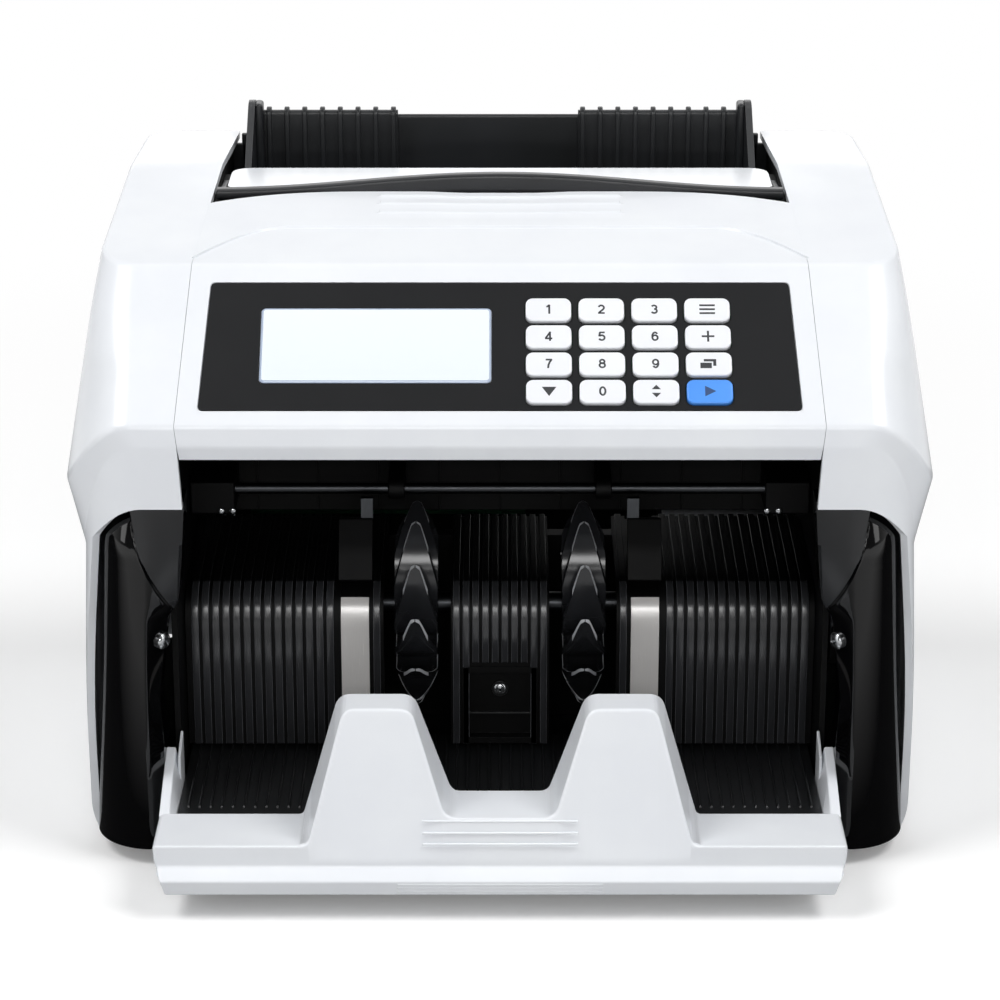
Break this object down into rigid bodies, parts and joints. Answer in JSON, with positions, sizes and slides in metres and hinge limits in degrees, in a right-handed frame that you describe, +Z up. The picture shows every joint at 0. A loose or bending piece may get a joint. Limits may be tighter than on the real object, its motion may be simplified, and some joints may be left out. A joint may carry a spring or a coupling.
{
  "type": "banknote counter",
  "caption": "Front-stacking banknote counter with a top hopper, sloping keyboard and display, ribbed stacking pocket with finned wheels, and a folding carry handle.",
  "frame": {"origin": "on the ground under the middle of the bounding box", "axes": "+X to the right as seen by the operator, +Y from the front tray to the rear cover, +Z up"},
  "size_m": [0.2924, 0.24, 0.2273],
  "materials": {
    "white_abs": "gloss",
    "black_abs": "satin",
    "black_gloss_abs": "high gloss",
    "panel_film": "fine grain",
    "key_white": "satin",
    "key_blue": "satin",
    "display_lens": "gloss",
    "bright_steel": "brushed",
    "black_steel": "satin",
    "rubber": "matte",
    "circuit_board": "satin",
    "handle_grey": "satin"
  },
  "bodies": {
    "counter": {"base_pan": "black_steel", "front_left_foot": "rubber", "front_right_foot": "rubber", "rear_left_foot": "rubber", "rear_right_foot": "rubber", "left_side_cover": "white_abs", "right_side_cover": "white_abs", "front_cover": "white_abs", "rear_cover": "white_abs", "panel_overlay": "panel_film", "lcd_window": "display_lens", "panel_board": "circuit_board", "left_corner_panel": "black_gloss_abs", "right_corner_panel": "black_gloss_abs", "stacker_tray": "white_abs", "stacker_floor": "black_abs", "left_back_guide": "black_abs", "right_back_guide": "black_abs", "centre_back_guide": "black_abs", "left_steel_strip": "bright_steel", "right_steel_strip": "bright_steel", "upper_guide": "black_abs", "guide_shaft": "black_steel", "left_frame_plate": "black_steel", "right_frame_plate": "black_steel", "rear_bulkhead": "black_steel", "drive_motor": "bright_steel", "drive_belt": "rubber", "hopper_frame": "black_abs", "hopper_lip": "white_abs", "hopper_back_plate": "black_abs", "main_board": "circuit_board", "power_supply": "circuit_board", "mains_inlet": "black_abs"},
    "impeller_group": {"impeller_shaft": "black_steel", "left_impeller": "black_abs", "right_impeller": "black_abs"},
    "drum_group": {"drum_shaft": "rubber"},
    "feed_group": {"feed_shaft": "rubber"},
    "motor_group": {"motor_pulley": "bright_steel"},
    "left_guide_group": {"left_hopper_guide": "black_abs"},
    "right_guide_group": {"right_hopper_guide": "black_abs"},
    "handle_group": {"carry_handle": "handle_grey"},
    "rocker_group": {"power_rocker": "black_abs"},
    "key_1_group": {"key_1": "key_white"},
    "key_2_group": {"key_2": "key_white"},
    "key_3_group": {"key_3": "key_white"},
    "key_mode_group": {"key_mode": "key_white"},
    "key_4_group": {"key_4": "key_white"},
    "key_5_group": {"key_5": "key_white"},
    "key_6_group": {"key_6": "key_white"},
    "key_add_group": {"key_add": "key_white"},
    "key_7_group": {"key_7": "key_white"},
    "key_8_group": {"key_8": "key_white"},
    "key_9_group": {"key_9": "key_white"},
    "key_batch_group": {"key_batch": "key_white"},
    "key_down_group": {"key_down": "key_white"},
    "key_0_group": {"key_0": "key_white"},
    "key_value_group": {"key_value": "key_white"},
    "key_start_group": {"key_start": "key_blue"}
  },
  "joints": [
    {"name": "carry_handle_swing", "type": "hinge", "parent": "counter", "child": "handle_group", "pos_m": [0, 0.053, 0.2062], "axis": [-1, 0, 0], "range_deg": [0, 95]},
    {"name": "left_guide_slide", "type": "slide", "parent": "counter", "child": "left_guide_group", "axis": [1, 0, 0], "range_m": [0, 0.025]},
    {"name": "right_guide_slide", "type": "slide", "parent": "counter", "child": "right_guide_group", "axis": [-1, 0, 0], "range_m": [0, 0.025]},
    {"name": "drum_spin", "type": "hinge", "parent": "counter", "child": "drum_group", "pos_m": [0, 0.061, 0.15], "axis": [1, 0, 0], "continuous": true},
    {"name": "impeller_spin", "type": "hinge", "parent": "counter", "child": "impeller_group", "pos_m": [0, -0.006, 0.069], "axis": [1, 0, 0], "continuous": true},
    {"name": "feed_spin", "type": "hinge", "parent": "counter", "child": "feed_group", "pos_m": [0, 0.09147, 0.16482], "axis": [1, 0, 0], "continuous": true},
    {"name": "motor_spin", "type": "hinge", "parent": "counter", "child": "motor_group", "pos_m": [0, 0.071, 0.06], "axis": [1, 0, 0], "continuous": true},
    {"name": "power_rocker_tilt", "type": "hinge", "parent": "counter", "child": "rocker_group", "pos_m": [-0.04, 0.113, 0.04], "axis": [1, 0, 0], "range_deg": [0, 16]},
    {"name": "key_1_press", "type": "slide", "parent": "counter", "child": "key_1_group", "axis": [0, 0.6601, -0.7512], "range_m": [0, 0.001], "stiffness_N_per_m": 500, "springref_m": -0.0005},
    {"name": "key_2_press", "type": "slide", "parent": "counter", "child": "key_2_group", "axis": [0, 0.6601, -0.7512], "range_m": [0, 0.001], "stiffness_N_per_m": 500, "springref_m": -0.0005},
    {"name": "key_3_press", "type": "slide", "parent": "counter", "child": "key_3_group", "axis": [0, 0.6601, -0.7512], "range_m": [0, 0.001], "stiffness_N_per_m": 500, "springref_m": -0.0005},
    {"name": "key_mode_press", "type": "slide", "parent": "counter", "child": "key_mode_group", "axis": [0, 0.6601, -0.7512], "range_m": [0, 0.001], "stiffness_N_per_m": 500, "springref_m": -0.0005},
    {"name": "key_4_press", "type": "slide", "parent": "counter", "child": "key_4_group", "axis": [0, 0.6601, -0.7512], "range_m": [0, 0.001], "stiffness_N_per_m": 500, "springref_m": -0.0005},
    {"name": "key_5_press", "type": "slide", "parent": "counter", "child": "key_5_group", "axis": [0, 0.6601, -0.7512], "range_m": [0, 0.001], "stiffness_N_per_m": 500, "springref_m": -0.0005},
    {"name": "key_6_press", "type": "slide", "parent": "counter", "child": "key_6_group", "axis": [0, 0.6601, -0.7512], "range_m": [0, 0.001], "stiffness_N_per_m": 500, "springref_m": -0.0005},
    {"name": "key_add_press", "type": "slide", "parent": "counter", "child": "key_add_group", "axis": [0, 0.6601, -0.7512], "range_m": [0, 0.001], "stiffness_N_per_m": 500, "springref_m": -0.0005},
    {"name": "key_7_press", "type": "slide", "parent": "counter", "child": "key_7_group", "axis": [0, 0.6601, -0.7512], "range_m": [0, 0.001], "stiffness_N_per_m": 500, "springref_m": -0.0005},
    {"name": "key_8_press", "type": "slide", "parent": "counter", "child": "key_8_group", "axis": [0, 0.6601, -0.7512], "range_m": [0, 0.001], "stiffness_N_per_m": 500, "springref_m": -0.0005},
    {"name": "key_9_press", "type": "slide", "parent": "counter", "child": "key_9_group", "axis": [0, 0.6601, -0.7512], "range_m": [0, 0.001], "stiffness_N_per_m": 500, "springref_m": -0.0005},
    {"name": "key_batch_press", "type": "slide", "parent": "counter", "child": "key_batch_group", "axis": [0, 0.6601, -0.7512], "range_m": [0, 0.001], "stiffness_N_per_m": 500, "springref_m": -0.0005},
    {"name": "key_down_press", "type": "slide", "parent": "counter", "child": "key_down_group", "axis": [0, 0.6601, -0.7512], "range_m": [0, 0.001], "stiffness_N_per_m": 500, "springref_m": -0.0005},
    {"name": "key_0_press", "type": "slide", "parent": "counter", "child": "key_0_group", "axis": [0, 0.6601, -0.7512], "range_m": [0, 0.001], "stiffness_N_per_m": 500, "springref_m": -0.0005},
    {"name": "key_value_press", "type": "slide", "parent": "counter", "child": "key_value_group", "axis": [0, 0.6601, -0.7512], "range_m": [0, 0.001], "stiffness_N_per_m": 500, "springref_m": -0.0005},
    {"name": "key_start_press", "type": "slide", "parent": "counter", "child": "key_start_group", "axis": [0, 0.6601, -0.7512], "range_m": [0, 0.001], "stiffness_N_per_m": 500, "springref_m": -0.0005}
  ],
  "couplings": [
    {"joint": "impeller_spin", "follows": "drum_spin", "ratio": 0.4},
    {"joint": "feed_spin", "follows": "drum_spin", "ratio": 1},
    {"joint": "motor_spin", "follows": "drum_spin", "ratio": 1.3333},
    {"joint": "right_guide_slide", "follows": "left_guide_slide", "ratio": 1}
  ]
}
